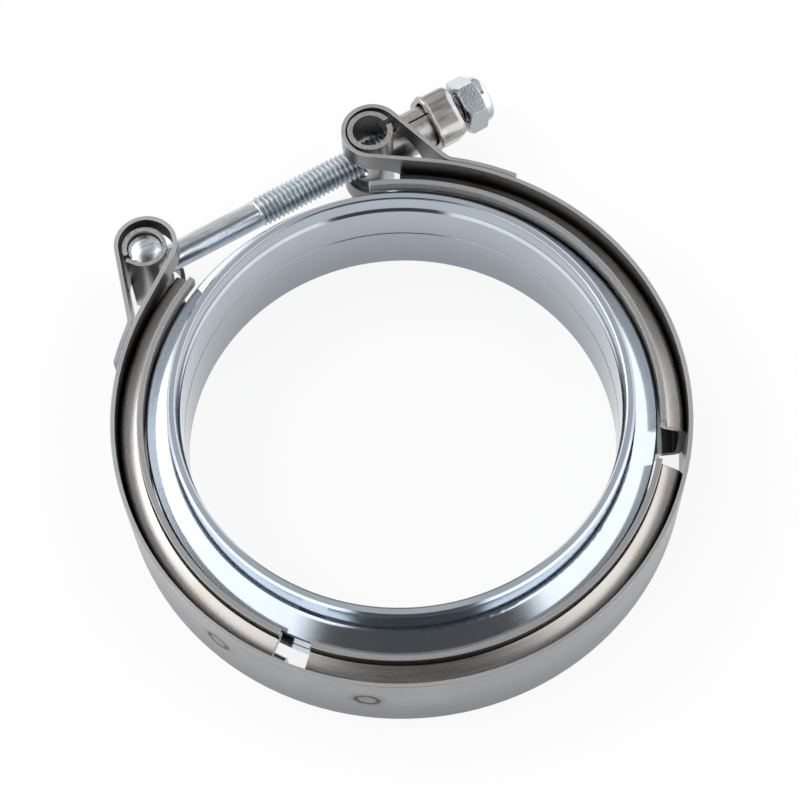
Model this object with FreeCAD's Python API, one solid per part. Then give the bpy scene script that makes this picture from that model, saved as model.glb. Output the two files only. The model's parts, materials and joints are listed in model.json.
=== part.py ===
import FreeCAD, Part
import math
import os

os.makedirs("parts", exist_ok=True)

# A V band clamp with its pair of weld flanges, the clamp slackened off to its widest.
# The ring axis is Z, and z = 0 is the surface that the band and the lower flange stand on.
# The tensioning bolt lies level, across the gap between the two looped ends of the band.
# Lengths are in millimetres and angles in degrees.

# The outer band: one strip, its two ends looped back and spot-welded on the outside.
BAND_INNER_RADIUS = 52.0
BAND_THICKNESS = 0.8
BAND_WIDTH = 18.3
LOOP_RADIUS = 5.6                      # middle of the strip round a loop
BOLT_LOOP = (59.18, 142.15)            # loop of the bolt's cross head: distance from the ring axis, angle
NUT_LOOP = (59.19, 93.10)              # loop of the trunnion
RETURN_BEND_RADIUS = 3.0               # where a returned end lies down on the band
BOLT_TAIL = (159.0, 167.3)             # angles where that end lies down, and where it is cut off
NUT_TAIL = (77.0, 63.4)
TAIL_GAP = 0.1                         # between the band and its returned end
WELD_RADIUS = 2.0
SLOT_HALF_HEIGHT = 4.6                 # of the slots that the bolt and the trunnion pass through
SLOT_REACH = (50.0, 61.6)              # radii between which the long slots are punched
SLOT_ROUND_ANGLE = 9.5                 # from the start of a loop to the centre of its long slot's round end
LEG_SLOT_SPAN = (-3.0, 1.5)            # centres of the round ends of the slot for the trunnion's legs
LEG_SLOT_DEPTH = 14.0

# The three channel segments inside the band.
RETAINER_THICKNESS = 1.1
LIP_INNER_RADIUS = 46.9
LIP_HEIGHT = 2.7
LEG_SLOPE = 22.0                       # of the channel's legs, from level
LIP_BEND_RADIUS = 1.0
WEB_BEND_RADIUS = 1.6
WEB_CUTBACK = (88.0, 49.4)             # right segment: cut away for the bolt from this angle on, outside this radius
RETAINER_SPANS = {
    "v_retainer_right": (-6.0, 95.0),
    "v_retainer_front": (-111.5, -15.0),
    "v_retainer_left": (143.0, 241.5),
}

# The two weld flanges, alike but for the locating ring on their joint faces.
FLANGE_HEIGHT = 12.0
FLANGE_RADIUS = 46.6
FLANGE_EDGE = 3.7                      # height of the outer edge
FLANGE_SLOPE = 20.0                    # of the back face, from level
NECK_RADIUS = 42.0
NECK_FILLET = 1.2
BORE_RADIUS = 39.9
SOCKET_RADIUS = 40.35                  # counterbore that takes the end of the pipe
SOCKET_DEPTH = 3.4
SOCKET_STEP = 0.65
RIM_CHAMFER = 0.45
EDGE_CHAMFER = 0.3
TONGUE_RADII = (42.2, 44.2)
TONGUE_HEIGHT = 1.0
GROOVE_CLEARANCE = 0.15

# The rolled sleeves that fill the loops, and where each lies off the middle of its loop.
SLEEVE_LENGTH = 17.6
BOLT_SLEEVE_RADIUS = 4.2
BOLT_SLEEVE_WALL = 0.85
BOLT_SLEEVE_END = 178.0                # angle from the bolt at which the rolled end stops
BOLT_SLEEVE_TAIL = 2.0                 # length of the end that was left straight
BOLT_SLEEVE_TAIL_ANGLE = 217.0         # where that end leaves the round, from the bolt
BOLT_SLEEVE_OFFSET = (-0.25, -0.40)
NUT_SLEEVE_RADIUS = 4.4
NUT_SLEEVE_WALL = 1.0
NUT_SLEEVE_SLIT = 1.2
NUT_SLEEVE_OFFSET = (-0.40, 0.25)

# The T bolt, measured from the axis of its cross head.
HEAD_RADIUS = 3.15
HEAD_LENGTH = 17.0
HEAD_DOME = 0.8
SHANK_RADIUS = 2.65
THREAD_RADIUS = 3.0
PLAIN_SHANK_LENGTH = 23.4
BOLT_LENGTH = 75.0
TIP_CHAMFER = 0.7
SHANK_HOLE_RADIUS = 3.0                # through the wall of the sleeve

# The trunnion and what the nut bears on, measured along the bolt from the trunnion's axis.
LEG_RADIUS = 4.3
PASSAGE_RADIUS = 3.45
LEG_LENGTH = 17.9
SEAM_WIDTH = 0.4
COLLAR_SPAN = (12.6, 18.9)
COLLAR_FLAT = 5.3                      # from the bolt's axis to a flat of the squared collar
COLLAR_CORNER = 2.8
COLLAR_WALL = 0.85
COLLAR_END_FILLET = 1.4
COLLAR_LIP = 0.35
FLAT_LEAN = 22.0                       # of the uppermost flats, from upright

# The prevailing-torque nut and its nylon ring, measured likewise.
NUT_START = 19.9
NUT_LENGTH = 6.0
NUT_HEX_LENGTH = 4.3
NUT_ACROSS_FLATS = 10.0
NUT_CHAMFER_ANGLE = 30.0
NUT_ROUND_RADIUS = 4.7
NUT_ROUND_FILLET = 1.0
NUT_BORE_RADIUS = 3.05
INSERT_RADIUS = 3.9
INSERT_LENGTH = 1.3
INSERT_COVER = 0.3                     # metal turned in over the ring

Z_AXIS = FreeCAD.Vector(0, 0, 1)
ORIGIN = FreeCAD.Vector(0, 0, 0)
MID_HEIGHT = BAND_WIDTH / 2
BAND_MIDDLE_RADIUS = BAND_INNER_RADIUS + BAND_THICKNESS / 2
TAIL_MIDDLE_RADIUS = BAND_MIDDLE_RADIUS + BAND_THICKNESS + TAIL_GAP


def polar(radius, angle, height=0.0):
    """The point at this radius and angle about the ring axis."""
    turn = math.radians(angle)
    return FreeCAD.Vector(radius * math.cos(turn), radius * math.sin(turn), height)


def angle_of(vector):
    return math.degrees(math.atan2(vector.y, vector.x))


def save(node, shape):
    """Write one piece, after making sure that it is a sound solid."""
    if not shape.isValid() or shape.Volume <= 0:
        raise ValueError(node + " is not a sound solid")
    shape.exportStep("parts/" + node + ".step")
    print(node, "volume", round(shape.Volume, 1), "solids", len(shape.Solids))


# Strips and turned sections ----------------------------------------------------------------

def belt(circles, start_angle, end_angle):
    """The path of a strip that wraps these circles in turn, as arcs and the straight runs between.

    A circle is its centre, its radius and its turn: 1 where the strip bends left, -1 where right.
    """
    runs = []
    for (first, first_radius, first_turn), (second, second_radius, second_turn) in zip(circles, circles[1:]):
        apart = second - first
        lean = (second_turn * second_radius - first_turn * first_radius) / apart.Length
        heading = math.atan2(apart.y, apart.x) - math.asin(max(-1.0, min(1.0, lean)))
        left = FreeCAD.Vector(-math.sin(heading), math.cos(heading), 0)
        runs.append((first - left * (first_turn * first_radius), second - left * (second_turn * second_radius)))
    path = []
    for index, (centre, radius, turn) in enumerate(circles):
        enter = start_angle if index == 0 else angle_of(runs[index - 1][1] - centre)
        leave = end_angle if index == len(runs) else angle_of(runs[index][0] - centre)
        path.append(("arc", centre, radius, enter, turn * ((turn * (leave - enter)) % 360.0)))
        if index < len(runs) and (runs[index][1] - runs[index][0]).Length > TAIL_GAP:
            path.append(("run",) + runs[index])
    return path


def fillet_path(corners, radii):
    """The path along these corner points, with each inner corner rounded to its radius or left sharp at 0."""
    path = []
    start = corners[0]
    for before, corner, after, radius in zip(corners, corners[1:], corners[2:], radii):
        if radius == 0:
            path.append(("run", start, corner))
            start = corner
            continue
        into = (corner - before).normalize()
        out = (after - corner).normalize()
        turn = math.copysign(1.0, into.cross(out).z)
        bend = into.getAngle(out)
        cut = radius * math.tan(bend / 2)
        centre = corner - into * cut + FreeCAD.Vector(-into.y, into.x, 0) * (turn * radius)
        path.append(("run", start, corner - into * cut))
        enter = angle_of(corner - into * cut - centre)
        path.append(("arc", centre, radius, enter, turn * math.degrees(bend)))
        start = corner + out * cut
    path.append(("run", start, corners[-1]))
    return path


def side(path, shift):
    """The edges of the path moved by shift to its left, with their first and last points."""
    edges = []
    stops = []
    for kind, *values in path:
        if kind == "run":
            along = (values[1] - values[0]).normalize()
            left = FreeCAD.Vector(-along.y, along.x, 0) * shift
            ends = (values[0] + left, values[1] + left)
            edges.append(Part.LineSegment(*ends).toShape())
        else:
            centre, radius, enter, sweep = values
            reach = radius - math.copysign(1.0, sweep) * shift
            ends = tuple(centre + polar(reach, enter + sweep * share) for share in (0.0, 0.5, 1.0))
            edges.append(Part.Arc(*ends).toShape())
        stops += [ends[0], ends[-1]]
    return edges, stops[0], stops[-1]


def strip_face(path, thickness):
    """The flat outline of a strip of this thickness along the path."""
    left, left_start, left_end = side(path, thickness / 2)
    right, right_start, right_end = side(path, -thickness / 2)
    caps = [Part.LineSegment(left_start, right_start).toShape(), Part.LineSegment(left_end, right_end).toShape()]
    return Part.Face(Part.Wire(Part.__sortEdges__(left + right + caps)))


def turned(outline):
    """The solid of revolution, about the ring axis, of corners given as radius, height and fillet radius."""
    corners = [FreeCAD.Vector(radius, height, 0) for radius, height, fillet in outline]
    path = fillet_path(corners, [fillet for radius, height, fillet in outline[1:-1]])
    path.append(("run", corners[-1], corners[0]))
    section = Part.Face(Part.Wire(Part.__sortEdges__(side(path, 0.0)[0])))
    section.rotate(ORIGIN, FreeCAD.Vector(1, 0, 0), 90)
    return section.revolve(ORIGIN, Z_AXIS, 360)


def disc(radius, start, end):
    """A round bar about the local X axis."""
    return Part.makeCylinder(radius, end - start, FreeCAD.Vector(start, 0, 0), FreeCAD.Vector(1, 0, 0))


def upright(radius, length):
    """A round bar about the local Z axis, half of it below the middle."""
    return Part.makeCylinder(radius, length, FreeCAD.Vector(0, 0, -length / 2))


def block(x_span, half_width, half_height):
    """A box along the local X axis."""
    corner = FreeCAD.Vector(x_span[0], -half_width, -half_height)
    return Part.makeBox(x_span[1] - x_span[0], 2 * half_width, 2 * half_height, corner)


def prism(outline, start, end):
    """A bar along the local X axis whose section is drawn looking back along it."""
    face = Part.Face(Part.Wire(Part.__sortEdges__(outline)))
    face.rotate(ORIGIN, FreeCAD.Vector(1, 1, 1), 120)
    face.translate(FreeCAD.Vector(start, 0, 0))
    return face.extrude(FreeCAD.Vector(end - start, 0, 0))


# The places that everything else is worked out from -----------------------------------------

BOLT_LOOP_CENTRE = polar(*BOLT_LOOP)
NUT_LOOP_CENTRE = polar(*NUT_LOOP)
BOLT_PIVOT = BOLT_LOOP_CENTRE + FreeCAD.Vector(*BOLT_SLEEVE_OFFSET, MID_HEIGHT)
NUT_PIVOT = NUT_LOOP_CENTRE + FreeCAD.Vector(*NUT_SLEEVE_OFFSET, MID_HEIGHT)
BOLT_ANGLE = angle_of(NUT_PIVOT - BOLT_PIVOT)
BOLT_FRAME = FreeCAD.Placement(BOLT_PIVOT, FreeCAD.Rotation(Z_AXIS, BOLT_ANGLE))
NUT_FRAME = FreeCAD.Placement(NUT_PIVOT, FreeCAD.Rotation(Z_AXIS, BOLT_ANGLE))


def placed(shape, frame):
    """A piece drawn along the local X axis, set in its place on the bolt."""
    moved = shape.copy()
    moved.Placement = frame.multiply(shape.Placement)
    return moved


# Band and retainers --------------------------------------------------------------------------

def long_slot(loop, start_side):
    """The slot punched along a loop: from a round end on the band, round the loop's bolt side."""
    distance, loop_angle = loop
    half_turn = math.degrees(math.acos((BAND_MIDDLE_RADIUS + LOOP_RADIUS) / distance))
    band_end = loop_angle + start_side * (half_turn - SLOT_ROUND_ANGLE)
    far_end = loop_angle - start_side * 2 * half_turn
    inner, outer = SLOT_REACH
    length = outer - inner
    plate = Part.makePlane(length, 2 * SLOT_HALF_HEIGHT, FreeCAD.Vector(inner, 0, MID_HEIGHT - SLOT_HALF_HEIGHT),
                           FreeCAD.Vector(0, -1, 0), FreeCAD.Vector(1, 0, 0))
    plate.rotate(ORIGIN, Z_AXIS, min(band_end, far_end))
    sector = plate.revolve(ORIGIN, Z_AXIS, abs(band_end - far_end))
    round_end = Part.makeCylinder(SLOT_HALF_HEIGHT, length, polar(inner, band_end, MID_HEIGHT), polar(1, band_end))
    return sector.fuse(round_end)


def leg_slot():
    """The slot in the returned end that the trunnion's legs stand out through."""
    first, last = LEG_SLOT_SPAN
    cutter = block((0, LEG_SLOT_DEPTH), (last - first) / 2, SLOT_HALF_HEIGHT)
    cutter.translate(FreeCAD.Vector(0, (first + last) / 2, 0))
    for across in LEG_SLOT_SPAN:
        round_end = disc(SLOT_HALF_HEIGHT, 0, LEG_SLOT_DEPTH)
        round_end.translate(FreeCAD.Vector(0, across, 0))
        cutter = cutter.fuse(round_end)
    return placed(cutter, NUT_FRAME)


def outer_band():
    """One strip: tail, loop, round the ring, loop, tail, slotted for the bolt and welded to itself."""
    bend_distance = TAIL_MIDDLE_RADIUS + RETURN_BEND_RADIUS
    wraps = [
        (ORIGIN, TAIL_MIDDLE_RADIUS, 1),
        (polar(bend_distance, NUT_TAIL[0]), RETURN_BEND_RADIUS, -1),
        (NUT_LOOP_CENTRE, LOOP_RADIUS, 1),
        (ORIGIN, BAND_MIDDLE_RADIUS, -1),
        (BOLT_LOOP_CENTRE, LOOP_RADIUS, 1),
        (polar(bend_distance, BOLT_TAIL[0]), RETURN_BEND_RADIUS, -1),
        (ORIGIN, TAIL_MIDDLE_RADIUS, 1),
    ]
    path = belt(wraps, NUT_TAIL[1], BOLT_TAIL[1])
    band = strip_face(path, BAND_THICKNESS).extrude(Z_AXIS * BAND_WIDTH)
    for down, end in (BOLT_TAIL, NUT_TAIL):
        for height in (BAND_WIDTH / 4, BAND_WIDTH * 3 / 4):
            middle = (down + end) / 2
            weld = Part.makeCylinder(WELD_RADIUS, BAND_THICKNESS + TAIL_GAP,
                                     polar(BAND_MIDDLE_RADIUS, middle, height), polar(1, middle))
            band = band.fuse(weld)
    return band.cut([long_slot(BOLT_LOOP, 1), long_slot(NUT_LOOP, -1), leg_slot()])


def web_cutback(end):
    """What is cut from a segment's web, up to its end, so that the bolt clears it."""
    start, radius = WEB_CUTBACK
    plate = Part.makePlane(BAND_INNER_RADIUS + 1 - radius, BAND_WIDTH, FreeCAD.Vector(radius, 0, 0),
                           FreeCAD.Vector(0, -1, 0), FreeCAD.Vector(1, 0, 0))
    plate.rotate(ORIGIN, Z_AXIS, start)
    return plate.revolve(ORIGIN, Z_AXIS, end + 1 - start)


def v_retainer(start, end):
    """A channel segment: web on the band, sloping legs, and a straight lip at each edge."""
    web = BAND_INNER_RADIUS - RETAINER_THICKNESS / 2
    lip = LIP_INNER_RADIUS + RETAINER_THICKNESS / 2
    lip_foot = MID_HEIGHT - LIP_HEIGHT
    web_foot = lip_foot - (web - lip) * math.tan(math.radians(LEG_SLOPE))
    corners = [FreeCAD.Vector(radius, height, 0) for radius, height in (
        (lip, -MID_HEIGHT), (lip, -lip_foot), (web, -web_foot), (web, web_foot), (lip, lip_foot), (lip, MID_HEIGHT))]
    radii = (LIP_BEND_RADIUS, WEB_BEND_RADIUS, WEB_BEND_RADIUS, LIP_BEND_RADIUS)
    section = strip_face(fillet_path(corners, radii), RETAINER_THICKNESS)
    section.rotate(ORIGIN, FreeCAD.Vector(1, 0, 0), 90)
    section.translate(Z_AXIS * MID_HEIGHT)
    section.rotate(ORIGIN, Z_AXIS, start)
    return section.revolve(ORIGIN, Z_AXIS, end - start)


# Flanges -------------------------------------------------------------------------------------

def flange(facing):
    """A weld flange standing on its joint face, facing 1 for upwards and -1 for downwards."""
    step_height = FLANGE_HEIGHT - SOCKET_DEPTH
    neck_foot = FLANGE_EDGE + (FLANGE_RADIUS - NECK_RADIUS) * math.tan(math.radians(FLANGE_SLOPE))
    outline = [
        (BORE_RADIUS, 0, 0), (BORE_RADIUS, step_height - SOCKET_STEP, 0), (SOCKET_RADIUS, step_height, 0),
        (SOCKET_RADIUS, FLANGE_HEIGHT, 0), (NECK_RADIUS - RIM_CHAMFER, FLANGE_HEIGHT, 0),
        (NECK_RADIUS, FLANGE_HEIGHT - RIM_CHAMFER, 0), (NECK_RADIUS, neck_foot, NECK_FILLET),
        (FLANGE_RADIUS - EDGE_CHAMFER, FLANGE_EDGE, 0), (FLANGE_RADIUS, FLANGE_EDGE - EDGE_CHAMFER, 0),
        (FLANGE_RADIUS, EDGE_CHAMFER, 0), (FLANGE_RADIUS - EDGE_CHAMFER, 0, 0),
    ]
    return turned([(radius, FLANGE_HEIGHT + facing * height, fillet) for radius, height, fillet in outline])


def locating_ring(clearance):
    """The ring that centres one flange on the other, or with a clearance the groove it sits in."""
    inner, outer = TONGUE_RADII
    low = FLANGE_HEIGHT - TONGUE_HEIGHT * (1 if clearance == 0 else 0)
    high = FLANGE_HEIGHT + TONGUE_HEIGHT + clearance
    inner -= clearance
    outer += clearance
    return turned([(inner, low, 0), (outer, low, 0), (outer, high, 0), (inner, high, 0)])


# Bolt, trunnion and nut, drawn along the local X axis ----------------------------------------

def spun(outline):
    """The solid of revolution, about the local X axis, of pairs of distance along it and radius."""
    corners = [FreeCAD.Vector(along, 0, radius) for along, radius in outline]
    return Part.Face(Part.makePolygon(corners + corners[:1])).revolve(ORIGIN, FreeCAD.Vector(1, 0, 0), 360)


def t_bolt():
    """Cross head with domed ends, plain shank and the blank of the thread."""
    dome_radius = (HEAD_RADIUS ** 2 + HEAD_DOME ** 2) / (2 * HEAD_DOME)
    head = upright(HEAD_RADIUS, HEAD_LENGTH - 2 * HEAD_DOME)
    for end in (-1, 1):
        dome = Part.makeSphere(dome_radius, Z_AXIS * (end * (HEAD_LENGTH / 2 - dome_radius)))
        head = head.fuse(dome.common(upright(HEAD_RADIUS, HEAD_LENGTH)))
    step = THREAD_RADIUS - SHANK_RADIUS
    shank = spun([
        (0, 0), (0, SHANK_RADIUS), (PLAIN_SHANK_LENGTH, SHANK_RADIUS), (PLAIN_SHANK_LENGTH + step, THREAD_RADIUS),
        (BOLT_LENGTH - TIP_CHAMFER, THREAD_RADIUS), (BOLT_LENGTH, THREAD_RADIUS - TIP_CHAMFER), (BOLT_LENGTH, 0),
    ])
    return head.fuse(shank).removeSplitter()


def t_bolt_sleeve():
    """A rolled sleeve round the cross head, one end left straight, with a hole for the shank."""
    middle = BOLT_SLEEVE_RADIUS - BOLT_SLEEVE_WALL / 2
    leave = polar(middle, BOLT_SLEEVE_TAIL_ANGLE)
    tip = leave + polar(BOLT_SLEEVE_TAIL, BOLT_SLEEVE_TAIL_ANGLE - 90)
    sweep = 360 + BOLT_SLEEVE_END - BOLT_SLEEVE_TAIL_ANGLE
    path = [("run", tip, leave), ("arc", ORIGIN, middle, BOLT_SLEEVE_TAIL_ANGLE, sweep)]
    sleeve = strip_face(path, BOLT_SLEEVE_WALL).extrude(Z_AXIS * SLEEVE_LENGTH)
    sleeve.translate(Z_AXIS * (-SLEEVE_LENGTH / 2))
    return sleeve.cut(disc(SHANK_HOLE_RADIUS, 0, 2 * BOLT_SLEEVE_RADIUS))


def trunnion():
    """One pressing: a rolled sleeve whose two edges run out as half round legs along the bolt."""
    sleeve = upright(NUT_SLEEVE_RADIUS, SLEEVE_LENGTH)
    legs = disc(LEG_RADIUS, 0, LEG_LENGTH)
    slit = block((0, NUT_SLEEVE_RADIUS + NUT_SLEEVE_WALL), NUT_SLEEVE_SLIT / 2, SLEEVE_LENGTH)
    seam = block((0, LEG_LENGTH + SEAM_WIDTH), SEAM_WIDTH / 2, LEG_RADIUS + NUT_SLEEVE_WALL)
    bore = upright(NUT_SLEEVE_RADIUS - NUT_SLEEVE_WALL, SLEEVE_LENGTH)
    passage = disc(PASSAGE_RADIUS, -2 * NUT_SLEEVE_RADIUS, LEG_LENGTH + NUT_SLEEVE_WALL)
    return sleeve.cut(slit).fuse(legs).cut([seam, bore, passage])


def rounded_square(half, corner):
    """The edges of a square with rounded corners, in the XY plane."""
    edges = []
    flat = half - corner
    for quarter in range(4):
        turn = FreeCAD.Rotation(Z_AXIS, 90 * quarter)
        ends = [turn.multVec(FreeCAD.Vector(half, across, 0)) for across in (-flat, flat)]
        edges.append(Part.LineSegment(*ends).toShape())
        centre = turn.multVec(FreeCAD.Vector(flat, flat, 0))
        stops = [centre + polar(corner, 90 * quarter + lean) for lean in (0, 45, 90)]
        edges.append(Part.Arc(*stops).toShape())
    return edges


def trunnion_collar():
    """A squared cup pressed over the legs' ends, with a rolled lip and an eye for the bolt."""
    start, end = COLLAR_SPAN
    outside = prism(rounded_square(COLLAR_FLAT, COLLAR_CORNER), start, end)
    rim = [edge for edge in outside.Edges if edge.BoundBox.XMin > end - 0.01]
    outside = outside.makeFillet(COLLAR_END_FILLET, rim)
    lip = prism(rounded_square(COLLAR_FLAT + COLLAR_LIP, COLLAR_CORNER + COLLAR_LIP), start, start + 2 * COLLAR_LIP)
    lip = lip.makeChamfer(COLLAR_LIP / 2, [edge for edge in lip.Edges if edge.BoundBox.XLength < 0.01])
    inside = prism(rounded_square(COLLAR_FLAT - COLLAR_WALL, COLLAR_CORNER - COLLAR_WALL), start - 1, end - COLLAR_WALL)
    eye = disc(PASSAGE_RADIUS, start, end + 1)
    collar = outside.fuse(lip).cut([inside, eye])
    collar.rotate(ORIGIN, FreeCAD.Vector(1, 0, 0), FLAT_LEAN)
    return collar


def lock_nut():
    """A hexagon nut with a rounded collar that holds the nylon ring."""
    corner = NUT_ACROSS_FLATS / 2 / math.cos(math.radians(30))
    corners = [polar(corner, 60 * index) for index in range(7)]
    hexagon = prism(Part.makePolygon(corners).Edges, 0, NUT_LENGTH)
    face_radius = NUT_ACROSS_FLATS / 2 - EDGE_CHAMFER
    slope = math.tan(math.radians(NUT_CHAMFER_ANGLE))
    rise = (corner - face_radius) * slope
    crown = (corner - NUT_ROUND_RADIUS) * slope
    envelope = spun([
        (0, 0), (0, face_radius), (rise, corner), (NUT_HEX_LENGTH - crown, corner), (NUT_HEX_LENGTH, NUT_ROUND_RADIUS),
        (NUT_LENGTH, NUT_ROUND_RADIUS), (NUT_LENGTH, 0)])
    body = hexagon.common(envelope)
    rim = [edge for edge in body.Edges if edge.BoundBox.XMin > NUT_LENGTH - 0.01]
    body = body.makeFillet(NUT_ROUND_FILLET, rim)
    seat_end = NUT_LENGTH - INSERT_COVER
    body = body.cut([disc(NUT_BORE_RADIUS, -1, NUT_LENGTH + 1), disc(INSERT_RADIUS, seat_end - INSERT_LENGTH, seat_end)])
    body.rotate(ORIGIN, FreeCAD.Vector(1, 0, 0), FLAT_LEAN)
    body.translate(FreeCAD.Vector(NUT_START, 0, 0))
    return body


def nylon_insert():
    end = NUT_START + NUT_LENGTH - INSERT_COVER
    return disc(INSERT_RADIUS, end - INSERT_LENGTH, end).cut(disc(NUT_BORE_RADIUS, end - INSERT_LENGTH, end))


save("outer_band", outer_band())
save("v_retainer_front", v_retainer(*RETAINER_SPANS["v_retainer_front"]))
save("v_retainer_left", v_retainer(*RETAINER_SPANS["v_retainer_left"]))
right_span = RETAINER_SPANS["v_retainer_right"]
save("v_retainer_right", v_retainer(*right_span).cut(web_cutback(right_span[1])))
save("lower_flange", flange(-1).fuse(locating_ring(0)))
save("upper_flange", flange(1).cut(locating_ring(GROOVE_CLEARANCE)))
save("t_bolt", placed(t_bolt(), BOLT_FRAME))
save("t_bolt_sleeve", placed(t_bolt_sleeve(), BOLT_FRAME))
save("trunnion", placed(trunnion(), NUT_FRAME))
save("trunnion_collar", placed(trunnion_collar(), NUT_FRAME))
save("lock_nut", placed(lock_nut(), NUT_FRAME))
save("nylon_insert", placed(nylon_insert(), NUT_FRAME))
print("bolt pivot", [round(value, 3) for value in BOLT_PIVOT], "nut pivot", [round(value, 3) for value in NUT_PIVOT])
print("bolt angle", round(BOLT_ANGLE, 3), "apart", round((NUT_PIVOT - BOLT_PIVOT).Length, 3))
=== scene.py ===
"""The looks of a V band clamp with its pair of turned weld flanges, on the frame of its solids."""

import json
import math

import bpy
import numpy as np
from bpy.props import FloatProperty, FloatVectorProperty, PointerProperty
from mathutils import Matrix, Vector


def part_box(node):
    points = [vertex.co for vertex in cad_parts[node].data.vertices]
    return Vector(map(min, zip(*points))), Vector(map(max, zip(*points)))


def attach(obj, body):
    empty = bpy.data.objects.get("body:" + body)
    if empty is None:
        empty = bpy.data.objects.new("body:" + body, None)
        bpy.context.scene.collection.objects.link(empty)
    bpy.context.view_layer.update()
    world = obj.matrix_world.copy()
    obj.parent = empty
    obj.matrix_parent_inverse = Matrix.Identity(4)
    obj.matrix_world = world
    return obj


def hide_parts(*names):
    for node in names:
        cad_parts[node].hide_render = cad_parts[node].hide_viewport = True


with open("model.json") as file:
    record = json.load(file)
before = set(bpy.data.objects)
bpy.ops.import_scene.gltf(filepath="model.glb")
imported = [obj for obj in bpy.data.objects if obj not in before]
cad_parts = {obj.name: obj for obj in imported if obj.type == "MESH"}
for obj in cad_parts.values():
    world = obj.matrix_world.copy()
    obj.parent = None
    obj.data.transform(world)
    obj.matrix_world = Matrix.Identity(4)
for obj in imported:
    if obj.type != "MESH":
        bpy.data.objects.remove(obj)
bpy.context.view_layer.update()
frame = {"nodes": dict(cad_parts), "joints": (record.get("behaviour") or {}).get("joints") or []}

bl_info = {
    "name": "V band clamp",
    "version": (1, 0, 0),
    "blender": (4, 5, 0),
    "location": "3D View > Sidebar > Clamp",
    "description": "Cuts the bolt's thread and gives each piece of a V band clamp its metal",
    "category": "Object",
}

MM = 0.001

JOINTS = {joint["name"]: joint for joint in frame["joints"]}
BOLT_START = Vector(JOINTS["bolt_swivel"]["pos_m"])
BOLT_AXIS = Vector(JOINTS["nut_turn"]["axis"]).normalized()
BOLT_TURN = math.atan2(BOLT_AXIS.y, BOLT_AXIS.x)
BAND_LOW, BAND_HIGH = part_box("outer_band")
HEAD_LOW, HEAD_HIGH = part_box("t_bolt")
FLANGE_LOW, FLANGE_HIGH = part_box("upper_flange")
MID_HEIGHT = (BAND_LOW.z + BAND_HIGH.z) / 2

# Sizes of the solids that the finishes follow: radii round the ring's axis, and heights, in millimetres.
BAND_TOP = BAND_HIGH.z / MM
BAND_INNER_RADIUS = 52.0
BAND_OUTER_RADIUS = 52.8
TAIL_OUTER_RADIUS = 53.7               # of the band's returned ends
WEB_INNER_RADIUS = 50.9                # of the retainers
LIP_OUTER_RADIUS = 48.0
HOLLOW_TOP = 14.4                      # the inside of a retainer's channel lies below this height
BORE_RADIUS = 39.9
SOCKET_RADIUS = 40.35
SOCKET_DEPTH = 3.4
JOINT_HEIGHT = FLANGE_LOW.z / MM       # where the two flanges meet
RIM_HEIGHT = FLANGE_HIGH.z / MM

# Spot welds on the band: radius, angle round the ring in degrees, and height.
WELD_RADIUS = 2.0
WELDS = [(BAND_OUTER_RADIUS, -98.94, 10.3), (BAND_OUTER_RADIUS, -130.2, 10.9)]
WELDS += [(TAIL_OUTER_RADIUS, angle, height) for angle in (70.2, 163.15) for height in (4.6, 13.7)]

# Colours that stay the same whatever the settings say.
# painted shade on the inner faces of the band's loops
LOOP_PAINTED_SHADE = (0.13, 0.12, 0.11)
# bare cut metal on the sheared edges, lightened further as a painted highlight
SHEARED_EDGE_AND_HIGHLIGHT = (0.68, 0.68, 0.69)
WELD_RIM = (0.05, 0.042, 0.038)
STRAW = (0.55, 0.475, 0.40)
# painted shade inside the retainers' channels
CHANNEL_INSIDE_PAINTED_SHADE = (0.05, 0.045, 0.04)
# painted shade on the outward faces of the retainers
CHANNEL_BACK_PAINTED_SHADE = (0.07, 0.065, 0.06)
LIP_EDGE = (0.47, 0.47, 0.48)
PALE_SPECK = (0.85, 0.88, 0.90)
# painted shade in the roots of the bolt's thread
THREAD_ROOT_SHADE = (0.24, 0.27, 0.31)
COLLAR_STAIN = (0.36, 0.31, 0.28)
FLOOR_PAINT = (0.95, 0.95, 0.95, 1.0)

FLOOR_REACH = 12.0                     # metres from the middle to each side
FLOOR_GLOW = 0.88                      # share of plain white that the camera and the metal see
LAMP_PLACE = Vector((-0.55, 0.25, 0.60))
LAMP_SIZE = 0.45
SHARP_BEND = math.radians(60.0)        # edges of the bolt that bend more than this are shaded sharp
UP = (0.0, 0.0, 1.0)


# Settings -----------------------------------------------------------------------------------

class ClampBoltSizes(bpy.types.PropertyGroup):
    """Sizes of the T bolt, taken along it from the axis of its cross head."""

    shank_radius: FloatProperty(
        name="Shank radius", description="Radius of the plain part", default=2.65 * MM, unit="LENGTH")
    thread_radius: FloatProperty(
        name="Thread radius", description="Outside radius of the thread", default=3.0 * MM, unit="LENGTH")
    thread_depth: FloatProperty(
        name="Thread depth", description="From crest to root", default=0.5 * MM, unit="LENGTH")
    pitch: FloatProperty(
        name="Pitch", description="Advance of the thread in one turn", default=1.0 * MM, unit="LENGTH")
    thread_start: FloatProperty(
        name="Thread start", description="Where the plain shank ends", default=23.4 * MM, unit="LENGTH")
    length: FloatProperty(
        name="Length", description="From the cross head's axis to the tip", default=75.0 * MM, unit="LENGTH")
    tip_chamfer: FloatProperty(
        name="Tip chamfer", description="Length of the bevel at the tip", default=0.7 * MM, unit="LENGTH")
    head_radius: FloatProperty(
        name="Head radius", description="Radius of the cross head", default=3.15 * MM, unit="LENGTH")
    head_dome: FloatProperty(
        name="Head dome", description="Rise of the cross head's ends", default=0.8 * MM, unit="LENGTH")


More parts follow.
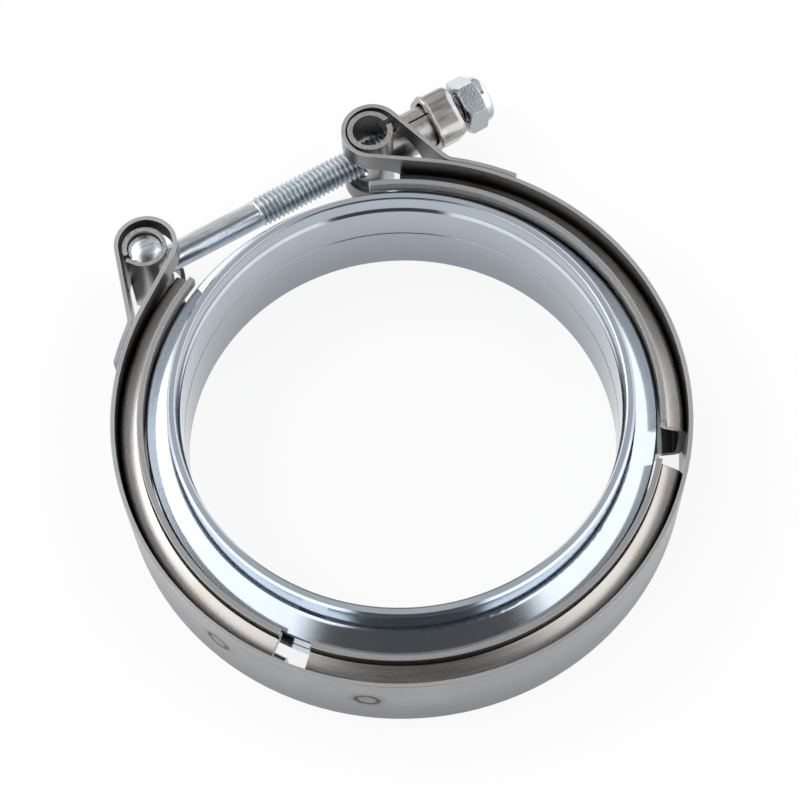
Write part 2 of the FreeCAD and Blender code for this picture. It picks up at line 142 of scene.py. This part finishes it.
class ClampColours(bpy.types.PropertyGroup):
    """Base colours of the metals and the plastic."""

    stainless: FloatVectorProperty(
        name="Stainless", description="Brushed strip of the band",
        subtype="COLOR", default=(0.262, 0.267, 0.28))
    retainer: FloatVectorProperty(
        name="Retainer", description="Pressed channel, away from the welds",
        subtype="COLOR", default=(0.56, 0.54, 0.515))
    tint: FloatVectorProperty(
        name="Heat tint", description="Brown left by welding",
        subtype="COLOR", default=(0.20, 0.155, 0.12))
    zinc: FloatVectorProperty(
        name="Zinc", description="Bright plating on the turned flanges",
        subtype="COLOR", default=(0.565, 0.625, 0.70))
    bright_zinc: FloatVectorProperty(
        name="Bright zinc", description="Plating on the bolt and the nut",
        subtype="COLOR", default=(0.72, 0.78, 0.82))
    sleeve: FloatVectorProperty(
        name="Sleeve", description="Rolled sleeves and the collar",
        subtype="COLOR", default=(0.46, 0.45, 0.44))
    nylon: FloatVectorProperty(
        name="Nylon", description="Locking ring of the nut",
        subtype="COLOR", default=(0.45, 0.52, 0.60))


class ClampStageSettings(bpy.types.PropertyGroup):
    """Where the camera stands, and how strong the lamp is."""

    tilt: FloatProperty(
        name="Tilt", description="Camera's height above level, seen from the ring",
        default=math.radians(64.91), subtype="ANGLE")
    roll: FloatProperty(
        name="Roll", description="Turn of the camera about its line of sight",
        default=math.radians(-2.56), subtype="ANGLE")
    distance: FloatProperty(
        name="Distance", description="From the middle of the ring to the camera",
        default=397.8 * MM, unit="LENGTH")
    shift_right: FloatProperty(
        name="Shift right", description="Camera's sideways move from the ring's middle",
        default=-0.36 * MM, unit="LENGTH")
    shift_up: FloatProperty(
        name="Shift up", description="Camera's upward move from the ring's middle",
        default=5.22 * MM, unit="LENGTH")
    lens: FloatProperty(
        name="Lens", description="Focal length in millimetres on a 36 mm sensor", default=96.75)
    lamp_power: FloatProperty(
        name="Lamp", description="Power of the soft lamp in watts", default=1.2)


# Surfaces -----------------------------------------------------------------------------------

def closed_mesh(name, surfaces):
    """One mesh from closed surfaces, each given as its two poles and its rings of points.

    The rings are an array of rows, columns and coordinates: row i, column j is the point at that station
    along the piece and that angle round it. The columns wrap round, and a fan closes each end to its pole.
    """
    points, walls, fans, used = [], [], [], 0
    for poles, rings in surfaces:
        rows, columns = rings.shape[:2]
        index = used + np.arange(rows * columns).reshape(rows, columns)
        beside = np.roll(index, -1, axis=1)
        first_pole = used + rows * columns
        points += [rings.reshape(-1, 3), np.array(poles)]
        walls.append(np.stack([index[:-1], index[1:], beside[1:], beside[:-1]], axis=-1).reshape(-1, 4))
        fans.append(np.stack([np.full(columns, first_pole), index[0], beside[0]], axis=-1))
        fans.append(np.stack([np.full(columns, first_pole + 1), beside[-1], index[-1]], axis=-1))
        used = first_pole + 2
    faces = np.concatenate(walls).tolist() + np.concatenate(fans).tolist()
    mesh = bpy.data.meshes.new(name)
    mesh.from_pydata(np.concatenate(points).tolist(), [], faces)
    mesh.update()
    return mesh


def full_turn(columns):
    """Even steps of angle once round, as a row."""
    return np.linspace(0.0, 2 * math.pi, columns, endpoint=False)[None, :]


def shaft_surface(sizes, columns=72, plain_rows=24, rows_per_pitch=18):
    """The bolt's shaft, as a radius for each distance x along it and angle a round it.

    On the plain part the radius is the shank's. On the thread it is the outside radius less the depth times
    (1 - p), where p is a triangle wave of x / pitch - a / (2 pi), stretched by a third and clipped to 0..1 so
    that crest and root are flat. The thread fades in over its first pitch, and near the tip the radius is
    held under a bevel of 45 degrees.
    """
    plain = np.linspace(0.0, sizes.thread_start, plain_rows, endpoint=False)
    turns = (sizes.length - sizes.thread_start) / sizes.pitch
    threaded = np.linspace(sizes.thread_start, sizes.length, int(turns * rows_per_pitch))
    along = np.concatenate([plain, threaded])[:, None]
    around = full_turn(columns)
    phase = np.mod(along / sizes.pitch - around / (2 * math.pi), 1.0)
    profile = np.clip((1.0 - np.abs(2.0 * phase - 1.0)) * 4 / 3 - 1 / 6, 0.0, 1.0)
    threads = sizes.thread_radius - sizes.thread_depth * (1.0 - profile)
    fade = np.clip((along - sizes.thread_start) / sizes.pitch, 0.0, 1.0)
    radius = sizes.shank_radius * (1.0 - fade) + threads * fade
    radius = np.minimum(radius, sizes.thread_radius - sizes.tip_chamfer + sizes.length - along)
    rings = np.stack(np.broadcast_arrays(along, radius * np.cos(around), radius * np.sin(around)), axis=-1)
    return [(0.0, 0.0, 0.0), (sizes.length, 0.0, 0.0)], rings


def head_surface(sizes, half_height, columns=64, rows=14, first_ring=0.06):
    """The cross head, turned about the upright axis from a profile.

    From the lower pole the profile follows a dome of radius (r^2 + d^2) / (2 d), where r is the head's
    radius and d the dome's rise, then the straight side, and then the dome again, mirrored. The ring
    next to a pole stands at first_ring, a share of the angle from the pole to the straight side.
    """
    dome = (sizes.head_radius ** 2 + sizes.head_dome ** 2) / (2 * sizes.head_dome)
    lean = np.linspace(first_ring, 1.0, rows) * math.asin(sizes.head_radius / dome)
    radius = dome * np.sin(lean)
    height = half_height - dome * (1.0 - np.cos(lean))
    radius = np.concatenate([radius, radius[::-1]])[:, None]
    height = np.concatenate([-height, height[::-1]])[:, None]
    around = full_turn(columns)
    rings = np.stack(np.broadcast_arrays(radius * np.cos(around), radius * np.sin(around), height), axis=-1)
    return [(0.0, 0.0, -half_height), (0.0, 0.0, half_height)], rings


# Finishes -----------------------------------------------------------------------------------

class Nodes:
    """Shader nodes of one tree. Apart from add and feed, each method gives the output of what it adds."""

    def __init__(self, tree):
        self.tree = tree

    def add(self, kind):
        return self.tree.nodes.new(kind)

    def feed(self, socket, value):
        """Link a socket to a node's output, or set it to a number or a colour."""
        if isinstance(value, bpy.types.NodeSocket):
            self.tree.links.new(value, socket)
        else:
            socket.default_value = value

    def math(self, operation, *values):
        node = self.add("ShaderNodeMath")
        node.operation = operation
        for socket, value in zip(node.inputs, values):
            self.feed(socket, value)
        return node.outputs["Value"]

    def plus(self, first, second):
        return self.math("ADD", first, second)

    def minus(self, first, second):
        return self.math("SUBTRACT", first, second)

    def times(self, first, second):
        return self.math("MULTIPLY", first, second)

    def vector(self, operation, *values, scale=None):
        node = self.add("ShaderNodeVectorMath")
        node.operation = operation
        for socket, value in zip(node.inputs, values):
            self.feed(socket, value)
        if scale is not None:
            self.feed(node.inputs["Scale"], scale)
        return node.outputs["Value" if operation in ("LENGTH", "DISTANCE", "DOT_PRODUCT") else "Vector"]

    def parts(self, vector):
        """The three coordinates of a vector."""
        node = self.add("ShaderNodeSeparateXYZ")
        self.feed(node.inputs["Vector"], vector)
        return node.outputs["X"], node.outputs["Y"], node.outputs["Z"]

    def joined(self, x, y, z):
        """A vector made from three coordinates."""
        node = self.add("ShaderNodeCombineXYZ")
        for socket, value in zip(node.inputs, (x, y, z)):
            self.feed(socket, value)
        return node.outputs["Vector"]

    def noise(self, at, scale=1.0, detail=2.0, rough=0.5):
        node = self.add("ShaderNodeTexNoise")
        for name, value in (("Vector", at), ("Scale", scale), ("Detail", detail), ("Roughness", rough)):
            self.feed(node.inputs[name], value)
        return node.outputs["Fac"]

    def between(self, value, low, high, start=0.0, end=1.0):
        """A smooth change from start to end while the value goes from low to high."""
        node = self.add("ShaderNodeMapRange")
        node.interpolation_type = "SMOOTHSTEP"
        names = ("Value", "From Min", "From Max", "To Min", "To Max")
        for name, number in zip(names, (value, low, high, start, end)):
            self.feed(node.inputs[name], number)
        return node.outputs["Result"]

    def mix(self, share, first, second):
        """A share of the second colour over the first."""
        node = self.add("ShaderNodeMix")
        node.data_type = "RGBA"
        self.feed(node.inputs["Factor"], share)
        colours = [socket for socket in node.inputs if socket.type == "RGBA"]
        for socket, colour in zip(colours, (first, second)):
            self.feed(socket, colour if isinstance(colour, bpy.types.NodeSocket) else (*colour, 1.0))
        return next(socket for socket in node.outputs if socket.type == "RGBA")

    def varied(self, colour, pattern, low, high, darker, lighter):
        """A colour that goes from a darker to a lighter shade while the pattern goes from low to high."""
        return self.mix(self.between(pattern, low, high), shade(colour, darker), shade(colour, lighter))


class Finish(Nodes):
    """A finish put together from shader nodes, with positions in millimetres."""

    def __init__(self, name, metallic=1.0):
        self.material = bpy.data.materials.new(name)
        self.material.use_nodes = True
        super().__init__(self.material.node_tree)
        self.shader = self.tree.nodes["Principled BSDF"]
        self.shader.inputs["Metallic"].default_value = metallic
        coordinates = self.add("ShaderNodeTexCoord")
        self.place = self.vector("SCALE", coordinates.outputs["Object"], scale=1 / MM)
        x, y, self.height = self.parts(self.place)
        self.flat = self.joined(x, y, 0.0)
        self.radius = self.vector("LENGTH", self.flat)

    def ring(self, around, across, rising=1.0, outward=1.0):
        """Positions for marks that run round the ring: nearly even along a circle and fine across it."""
        turn = self.vector("SCALE", self.vector("NORMALIZE", self.flat), scale=around)
        depth = self.plus(self.times(self.height, rising), self.times(self.radius, outward))
        return self.vector("ADD", turn, self.joined(0.0, 0.0, self.times(depth, across)))

    def from_circle(self, radius, height):
        """Distance from a circle round the ring's axis."""
        across = self.joined(self.minus(self.radius, radius), self.minus(self.height, height), 0.0)
        return self.vector("LENGTH", across)

    def facing(self, direction):
        """1 where the surface faces in a direction, 0 across it, and -1 where it faces the other way."""
        normal = self.add("ShaderNodeNewGeometry").outputs["Normal"]
        return self.vector("DOT_PRODUCT", normal, self.vector("NORMALIZE", direction))

    def on_bolt(self):
        """Positions measured along and across the bolt from the axis of its cross head."""
        node = self.add("ShaderNodeMapping")
        node.vector_type = "TEXTURE"
        self.feed(node.inputs["Vector"], self.place)
        node.inputs["Location"].default_value = BOLT_START / MM
        node.inputs["Rotation"].default_value = (0.0, 0.0, BOLT_TURN)
        return node.outputs["Vector"]

    def from_weld_rims(self):
        """Distance outwards from the rim of the nearest spot weld, made uneven by a little noise."""
        distances = [self.vector("DISTANCE", self.place, weld_point(*weld)) for weld in WELDS]
        nearest = distances[0]
        for distance in distances[1:]:
            nearest = self.math("MINIMUM", nearest, distance)
        uneven = 0.9
        wander = self.times(self.noise(self.place, scale=1.1, detail=3.0), uneven)
        return self.plus(nearest, self.minus(wander, uneven / 2 + WELD_RADIUS))

    def colour(self, value):
        self.feed(self.shader.inputs["Base Color"], value)

    def roughness(self, value):
        self.feed(self.shader.inputs["Roughness"], value)

    def bump(self, height, depth, strength=1.0, rounding=0.0):
        """Raise the surface by depth, in metres, for each 1 of height, and shade its edges as rounded."""
        node = self.add("ShaderNodeBump")
        node.inputs["Strength"].default_value = strength
        node.inputs["Distance"].default_value = depth
        self.feed(node.inputs["Height"], height)
        if rounding:
            bevel = self.add("ShaderNodeBevel")
            bevel.inputs["Radius"].default_value = rounding
            self.feed(node.inputs["Normal"], bevel.outputs["Normal"])
        self.feed(self.shader.inputs["Normal"], node.outputs["Normal"])


def shade(colour, factor):
    """A colour made lighter or darker."""
    return tuple(min(1.0, channel * factor) for channel in colour)


def weld_point(radius, angle, height):
    turn = math.radians(angle)
    return Vector((radius * math.cos(turn), radius * math.sin(turn), height))


def brushed_strip(colours):
    """Stainless strip of the band, with fine lines along its length and bright sheared edges, partly bare cut
    metal and partly a painted highlight.

    Painted shade makes it darker low down and on the inner faces that stand out from the ring. Each spot weld
    is a dent with a dark rim and a brown halo.
    """
    finish = Finish("brushed_strip")
    lines = finish.noise(finish.ring(2.5, 7.0, outward=0.0), detail=4.0, rough=0.62)
    base = finish.varied(colours.stainless, lines, 0.3, 0.7, 0.92, 1.08)
    cloud = finish.noise(finish.place, scale=0.09, detail=3.0)
    base = finish.mix(finish.between(cloud, 0.45, 0.75, 0.0, 0.3), base, shade(colours.retainer, 0.85))
    # painted shade: the strip is darker towards its lower edge
    low = finish.between(finish.height, 0.0, 15.0, 0.8, 0.0)
    base = finish.mix(low, base, shade(colours.stainless, 0.5))
    # painted shade on the inner faces of the loops, which look towards the ring
    inward = finish.between(finish.facing(finish.flat), -0.8, -0.1, 1.0, 0.0)
    outside = finish.between(finish.radius, BAND_INNER_RADIUS + 0.2, BAND_INNER_RADIUS + 1.0, 0.0, 0.35)
    base = finish.mix(finish.times(inward, outside), base, LOOP_PAINTED_SHADE)
    # sheared edges: bare cut metal, lightened further as a painted highlight
    from_edge = finish.math("MINIMUM", finish.height, finish.minus(BAND_TOP, finish.height))
    base = finish.mix(finish.between(from_edge, 0.02, 0.10, 0.6, 0.0), base, SHEARED_EDGE_AND_HIGHLIGHT)
    past_rim = finish.from_weld_rims()
    base = finish.mix(finish.between(past_rim, 0.2, 2.4, 0.6, 0.0), base, shade(colours.tint, 0.8))
    rim = finish.times(finish.between(past_rim, -0.7, -0.1), finish.between(past_rim, 0.1, 0.7, 1.0, 0.0))
    base = finish.mix(finish.times(rim, 0.8), base, WELD_RIM)
    finish.colour(base)
    finish.roughness(finish.plus(finish.between(lines, 0.2, 0.8, 0.26, 0.40), finish.times(rim, 0.2)))
    dent = finish.between(past_rim, -0.4, 0.6)
    finish.bump(finish.plus(finish.times(lines, 0.12), dent), 0.05 * MM, 0.6, 0.2 * MM)
    return finish.material


def tinted_channel(colours):
    """Pressed channel: rolled sheet gone straw to brown from welding, with bare metal on its top edge.

    Beside the band its brown heat tint is deepened as painted shade, and painted shade darkens the faces that
    look outwards and the inside of the channel.
    """
    finish = Finish("tinted_channel")
    lines = finish.noise(finish.ring(3.0, 11.0), detail=4.0, rough=0.6)
    base = finish.varied(colours.retainer, lines, 0.3, 0.7, 0.9, 1.1)
    bands = finish.noise(finish.ring(5.0, 0.15), detail=3.0)
    base = finish.mix(finish.between(bands, 0.44, 0.64, 0.0, 0.5), base, STRAW)
    # brown heat tint, deepened beside the band as painted shade
    tint_and_shade_beside_band = finish.between(finish.radius, WEB_INNER_RADIUS - 0.3, WEB_INNER_RADIUS + 0.6, 0.0, 0.7)
    base = finish.mix(tint_and_shade_beside_band, base, colours.tint)
    # painted shade inside the channel, behind the lip
    low = finish.between(finish.height, HOLLOW_TOP - 0.2, HOLLOW_TOP + 0.2, 1.0, 0.0)
    behind_lip = finish.between(finish.radius, LIP_OUTER_RADIUS + 0.2, LIP_OUTER_RADIUS + 0.6)
    base = finish.mix(finish.times(behind_lip, low), base, CHANNEL_INSIDE_PAINTED_SHADE)
    # painted shade on the faces that look outwards, towards the band
    base = finish.mix(finish.between(finish.facing(finish.flat), 0.45, 0.9, 0.0, 0.9), base, CHANNEL_BACK_PAINTED_SHADE)
    top_edge = finish.between(finish.height, BAND_TOP - 0.15, BAND_TOP - 0.05, 0.0, 0.85)
    base = finish.mix(top_edge, base, LIP_EDGE)
    finish.colour(base)
    finish.roughness(finish.between(lines, 0.2, 0.8, 0.22, 0.32))
    grain = finish.noise(finish.place, scale=6.0)
    finish.bump(finish.plus(lines, grain), 0.006 * MM, 0.6, 0.25 * MM)
    return finish.material


def turned_zinc(colours):
    """Turned and plated flange: tool marks and scratches round the ring, and small pale specks.

    Painted shade makes the bore darker downwards. Shading draws the joint as a fine groove in it, and softens
    the edge of the rim and that of the step at the bottom of the socket.
    """
    finish = Finish("turned_zinc")
    marks = finish.noise(finish.ring(1.2, 24.0, rising=-1.0), rough=0.6)
    cloud = finish.noise(finish.place, scale=0.12, detail=4.0, rough=0.6)
    speck = finish.noise(finish.place, scale=4.5)
    scratch = finish.noise(finish.ring(110.0, 0.35))
    base = finish.varied(colours.zinc, cloud, 0.3, 0.7, 0.97, 1.03)
    base = finish.mix(finish.between(speck, 0.66, 0.74, 0.0, 0.25), base, PALE_SPECK)
    base = finish.mix(finish.between(scratch, 0.72, 0.80, 0.0, 0.4), base, PALE_SPECK)
    # painted shade: the bore is darker deeper down
    in_bore = finish.between(finish.radius, SOCKET_RADIUS + 0.15, SOCKET_RADIUS + 0.35, 1.0, 0.0)
    depth = finish.between(finish.height, 0.0, RIM_HEIGHT, 0.85, 0.40)
    base = finish.mix(finish.times(in_bore, depth), base, shade(colours.zinc, 0.35))
    finish.colour(base)
    finish.roughness(finish.plus(finish.between(marks, 0.25, 0.75, 0.08, 0.13),
                                 finish.between(speck, 0.64, 0.74, 0.0, 0.15)))
    groove = finish.between(finish.from_circle(BORE_RADIUS, JOINT_HEIGHT), 0.02, 0.42, 0.0, 110.0)
    rim = finish.between(finish.from_circle(SOCKET_RADIUS, RIM_HEIGHT), 0.0, 0.28, 0.0, 42.0)
    step_height = RIM_HEIGHT - SOCKET_DEPTH
    below_step = finish.between(finish.height, step_height - 0.7, step_height + 0.1, 22.0, 0.0)
    edges = finish.plus(groove, finish.plus(rim, finish.times(in_bore, below_step)))
    finish.bump(finish.plus(finish.times(marks, 0.5), edges), 0.006 * MM, 0.6, 0.08 * MM)
    return finish.material


def plated_steel(colours, sizes):
    """Bright zinc on the bolt: pale, with blue grey streaks drawn out along it.

    Painted shade makes it darker on the underside and in the roots of the thread.
    """
    finish = Finish("plated_steel")
    along, across, rise = finish.parts(finish.on_bolt())
    drawn = finish.joined(finish.times(along, 0.12), across, rise)
    streaks = finish.noise(drawn, scale=1.4, detail=4.0, rough=0.6)
    grain = finish.noise(finish.place, scale=4.5, detail=3.0)
    base = finish.varied(colours.bright_zinc, streaks, 0.42, 0.62, 0.66, 1.0)
    base = finish.mix(finish.between(grain, 0.55, 0.7, 0.0, 0.5), base, shade(colours.bright_zinc, 0.62))
    # painted shade on the underside
    under = finish.between(finish.facing(UP), -0.1, 0.45, 0.7, 0.0)
    base = finish.mix(under, base, shade(colours.bright_zinc, 0.4))
    start = sizes.thread_start / MM
    threaded = finish.between(along, start + 0.2, start + 1.0)
    from_axis = finish.vector("LENGTH", finish.joined(0.0, across, rise))
    root = (sizes.thread_radius - sizes.thread_depth) / MM
    # painted shade in the roots of the thread
    shade_in_roots = finish.times(threaded, finish.between(from_axis, root, root + 0.35, 0.6, 0.0))
    base = finish.mix(shade_in_roots, base, THREAD_ROOT_SHADE)
    finish.colour(base)
    skin = finish.between(streaks, 0.35, 0.65, 0.28, 0.20)
    finish.roughness(finish.plus(skin, finish.times(threaded, 0.06)))
    finish.bump(grain, 0.015 * MM, 0.4)
    return finish.material


def plated_nut(colours):
    """Bright zinc on the lock nut, with painted shade on the underside and small knocks from handling."""
    finish = Finish("plated_nut")
    patches = finish.noise(finish.place, scale=0.55, detail=3.0, rough=0.55)
    knocks = finish.noise(finish.place, scale=3.2)
    base = finish.varied(colours.bright_zinc, patches, 0.35, 0.65, 0.93, 1.0)
    base = finish.mix(finish.between(knocks, 0.66, 0.76, 0.0, 0.5), base, shade(colours.bright_zinc, 0.5))
    # painted shade on the underside
    under = finish.between(finish.facing(UP), 0.1, 0.6, 0.75, 0.0)
    base = finish.mix(under, base, shade(colours.bright_zinc, 0.42))
    finish.colour(base)
    finish.roughness(finish.between(patches, 0.3, 0.7, 0.14, 0.09))
    finish.bump(knocks, 0.02 * MM, 0.4, 0.12 * MM)
    return finish.material


def satin_collar(colours):
    """Drawn collar: satin stainless with faint brown stains, and painted shade on the underside."""
    finish = Finish("satin_collar")
    along, across, rise = finish.parts(finish.on_bolt())
    drawn = finish.joined(finish.times(along, 0.25), across, rise)
    streaks = finish.noise(drawn, scale=0.8, detail=4.0, rough=0.6)
    base = finish.varied(colours.sleeve, streaks, 0.3, 0.7, 0.95, 1.25)
    stain = finish.noise(finish.place, scale=0.35, detail=3.0)
    base = finish.mix(finish.between(stain, 0.45, 0.65, 0.0, 0.3), base, COLLAR_STAIN)
    # painted shade on the underside
    under = finish.between(finish.facing(UP), 0.0, 0.6, 0.7, 0.0)
    base = finish.mix(under, base, shade(colours.sleeve, 0.6))
    finish.colour(base)
    finish.roughness(finish.between(streaks, 0.3, 0.7, 0.17, 0.24))
    finish.bump(streaks, 0.02 * MM, 0.4, 0.3 * MM)
    return finish.material


def rolled_sleeve(colours):
    """Rolled sleeves and trunnion: satin sheet with faint upright lines and a dull skin."""
    finish = Finish("rolled_sleeve")
    x, y, z = finish.parts(finish.place)
    upright = finish.joined(x, y, finish.times(z, 0.12))
    lines = finish.noise(upright, scale=2.2, detail=4.0, rough=0.6)
    finish.colour(finish.varied(colours.sleeve, lines, 0.3, 0.7, 0.85, 1.15))
    finish.roughness(finish.between(lines, 0.3, 0.7, 0.27, 0.38))
    finish.bump(lines, 0.02 * MM, 0.5, 0.12 * MM)
    return finish.material


def moulded_nylon(colours):
    """Nylon locking ring: soft sheen, with a little clouding in the plastic."""
    finish = Finish("moulded_nylon", metallic=0.0)
    cloud = finish.noise(finish.place, scale=1.2, detail=3.0)
    finish.colour(finish.varied(colours.nylon, cloud, 0.3, 0.7, 0.9, 1.1))
    finish.roughness(0.45)
    finish.bump(cloud, 0.02 * MM, 0.4)
    return finish.material


def give(names, material):
    """Put a finish on carried-over pieces of the frame."""
    for name in names:
        piece = frame["nodes"][name]
        piece.data.materials.clear()
        piece.data.materials.append(material)


# Stage --------------------------------------------------------------------------------------

def pale_floor():
    """A large white floor that keeps the shadow and shows pale in the view and in the metal."""
    corners = [(x * FLOOR_REACH, y * FLOOR_REACH, 0.0) for x, y in ((-1, -1), (1, -1), (1, 1), (-1, 1))]
    mesh = bpy.data.meshes.new("floor")
    mesh.from_pydata(corners, [], [(0, 1, 2, 3)])
    material = bpy.data.materials.new("pale_floor")
    material.use_nodes = True
    nodes = Nodes(material.node_tree)
    nodes.tree.nodes.clear()
    rays = nodes.add("ShaderNodeLightPath")
    seen = nodes.plus(rays.outputs["Is Camera Ray"], rays.outputs["Is Glossy Ray"])
    seen = nodes.plus(seen, rays.outputs["Is Transmission Ray"])
    seen.node.use_clamp = True
    paint = nodes.add("ShaderNodeBsdfDiffuse")
    nodes.feed(paint.inputs["Color"], FLOOR_PAINT)
    glow = nodes.add("ShaderNodeEmission")
    mixed = nodes.add("ShaderNodeMixShader")
    layers = (nodes.times(seen, FLOOR_GLOW), paint.outputs["BSDF"], glow.outputs["Emission"])
    for socket, value in zip(mixed.inputs, layers):
        nodes.feed(socket, value)
    nodes.feed(nodes.add("ShaderNodeOutputMaterial").inputs["Surface"], mixed.outputs["Shader"])
    mesh.materials.append(material)
    floor = bpy.data.objects.new("floor", mesh)
    return floor


def light_tent():
    """A surround like a light tent: white to the left and right, grey behind, a dark slot on the near side.

    The slot is where the direction leans to neither side by more than about a third, and not backwards,
    and its middle is a little to the right. Turned and plated faces mirror it as a dark band.
    """
    world = bpy.data.worlds.new("light_tent")
    world.use_nodes = True
    nodes = Nodes(world.node_tree)
    slot_middle, slot_brightness, wall_brightness = 0.035, 0.10, 1.6
    x, y, z = nodes.parts(nodes.add("ShaderNodeTexCoord").outputs["Generated"])
    behind = nodes.between(z, 0.15, 0.45, 0.35, 0.58)
    toward_back = nodes.between(y, -0.05, 0.25, slot_brightness, behind)
    from_slot = nodes.math("ABSOLUTE", nodes.minus(x, slot_middle))
    bright = nodes.between(from_slot, 0.32, 0.42, toward_back, wall_brightness)
    nodes.feed(nodes.tree.nodes["Background"].inputs["Color"], bright)
    return world


def soft_light(name, place, power, size):
    """A square area light that faces the clamp."""
    lamp = bpy.data.lights.new(name, "AREA")
    lamp.energy = power
    lamp.size = size
    light = bpy.data.objects.new(name, lamp)
    light.location = place
    light.rotation_euler = place.to_track_quat("Z", "Y").to_euler()
    return light


def ring_camera(settings):
    """A camera that looks down at the middle of the ring from the near side."""
    camera = bpy.data.objects.new("camera", bpy.data.cameras.new("camera"))
    camera.data.lens = settings.lens
    camera.data.clip_start = 0.01
    back = Vector((0.0, -math.cos(settings.tilt), math.sin(settings.tilt)))
    right = Matrix.Rotation(settings.roll, 3, back) @ Vector((1.0, 0.0, 0.0))
    up = back.cross(right)
    place = Vector((0.0, 0.0, MID_HEIGHT)) + back * settings.distance
    place += right * settings.shift_right + up * settings.shift_up
    camera.matrix_world = Matrix.Translation(place) @ Matrix((right, up, back)).transposed().to_4x4()
    return camera


# Operators ----------------------------------------------------------------------------------

class CLAMP_OT_bolt(bpy.types.Operator):
    """Make the T bolt with its cut thread, and plate it"""

    bl_idname = "clamp.bolt"
    bl_label = "T bolt"

    def execute(self, context):
        sizes = context.scene.clamp_bolt
        head = head_surface(sizes, (HEAD_HIGH.z - HEAD_LOW.z) / 2)
        mesh = closed_mesh("threaded_t_bolt", [shaft_surface(sizes), head])
        mesh.transform(Matrix.Translation(BOLT_START) @ Matrix.Rotation(BOLT_TURN, 4, "Z"))
        mesh.polygons.foreach_set("use_smooth", np.ones(len(mesh.polygons), dtype=bool))
        mesh.set_sharp_from_angle(angle=SHARP_BEND)
        mesh.materials.append(plated_steel(context.scene.clamp_colours, sizes))
        piece = bpy.data.objects.new("threaded_t_bolt", mesh)
        context.scene.collection.objects.link(piece)
        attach(piece, "bolt")
        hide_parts("t_bolt")
        return {"FINISHED"}


class CLAMP_OT_band(bpy.types.Operator):
    """Brush the band, tint its retainers and dull its sleeves"""

    bl_idname = "clamp.band"
    bl_label = "Band, retainers and sleeves"

    def execute(self, context):
        colours = context.scene.clamp_colours
        give(["outer_band"], brushed_strip(colours))
        give(["v_retainer_right", "v_retainer_front", "v_retainer_left"], tinted_channel(colours))
        give(["t_bolt_sleeve", "trunnion"], rolled_sleeve(colours))
        return {"FINISHED"}


class CLAMP_OT_flanges(bpy.types.Operator):
    """Turn and plate the two weld flanges"""

    bl_idname = "clamp.flanges"
    bl_label = "Weld flanges"

    def execute(self, context):
        give(["lower_flange", "upper_flange"], turned_zinc(context.scene.clamp_colours))
        return {"FINISHED"}


class CLAMP_OT_nut(bpy.types.Operator):
    """Plate the lock nut, give the squared collar its satin sheen and colour the nylon ring"""

    bl_idname = "clamp.nut"
    bl_label = "Lock nut and collar"

    def execute(self, context):
        colours = context.scene.clamp_colours
        give(["lock_nut"], plated_nut(colours))
        give(["trunnion_collar"], satin_collar(colours))
        give(["nylon_insert"], moulded_nylon(colours))
        return {"FINISHED"}


class CLAMP_OT_stage(bpy.types.Operator):
    """Lay the floor, hang the lights and set up the camera"""

    bl_idname = "clamp.stage"
    bl_label = "Floor, lights and camera"

    def execute(self, context):
        scene, settings = context.scene, context.scene.clamp_stage
        scene.view_settings.view_transform = "Standard"
        scene.world = light_tent()
        scene.camera = ring_camera(settings)
        lamp = soft_light("soft_lamp", LAMP_PLACE, settings.lamp_power, LAMP_SIZE)
        for each in (pale_floor(), lamp, scene.camera):
            scene.collection.objects.link(each)
        return {"FINISHED"}


class CLAMP_PT_panel(bpy.types.Panel):
    """The clamp's settings, and a button for each group of pieces"""

    bl_label = "V band clamp"
    bl_idname = "CLAMP_PT_panel"
    bl_space_type = "VIEW_3D"
    bl_region_type = "UI"
    bl_category = "Clamp"

    def draw(self, context):
        for settings in (context.scene.clamp_bolt, context.scene.clamp_colours, context.scene.clamp_stage):
            box = self.layout.box()
            for name in settings.__annotations__:
                box.prop(settings, name)
        for operator in OPERATORS:
            self.layout.operator(operator.bl_idname)


SETTINGS = (ClampBoltSizes, ClampColours, ClampStageSettings)
OPERATORS = (CLAMP_OT_bolt, CLAMP_OT_band, CLAMP_OT_flanges, CLAMP_OT_nut, CLAMP_OT_stage)


def register():
    for each in SETTINGS + OPERATORS + (CLAMP_PT_panel,):
        bpy.utils.register_class(each)
    bpy.types.Scene.clamp_bolt = PointerProperty(type=ClampBoltSizes)
    bpy.types.Scene.clamp_colours = PointerProperty(type=ClampColours)
    bpy.types.Scene.clamp_stage = PointerProperty(type=ClampStageSettings)


def unregister():
    for name in ("clamp_bolt", "clamp_colours", "clamp_stage"):
        delattr(bpy.types.Scene, name)
    for each in reversed(SETTINGS + OPERATORS + (CLAMP_PT_panel,)):
        bpy.utils.unregister_class(each)


def main():
    """Make every piece and the stage."""
    register()
    bpy.ops.clamp.bolt()
    bpy.ops.clamp.band()
    bpy.ops.clamp.flanges()
    bpy.ops.clamp.nut()
    bpy.ops.clamp.stage()


if __name__ == "__main__":
    main()
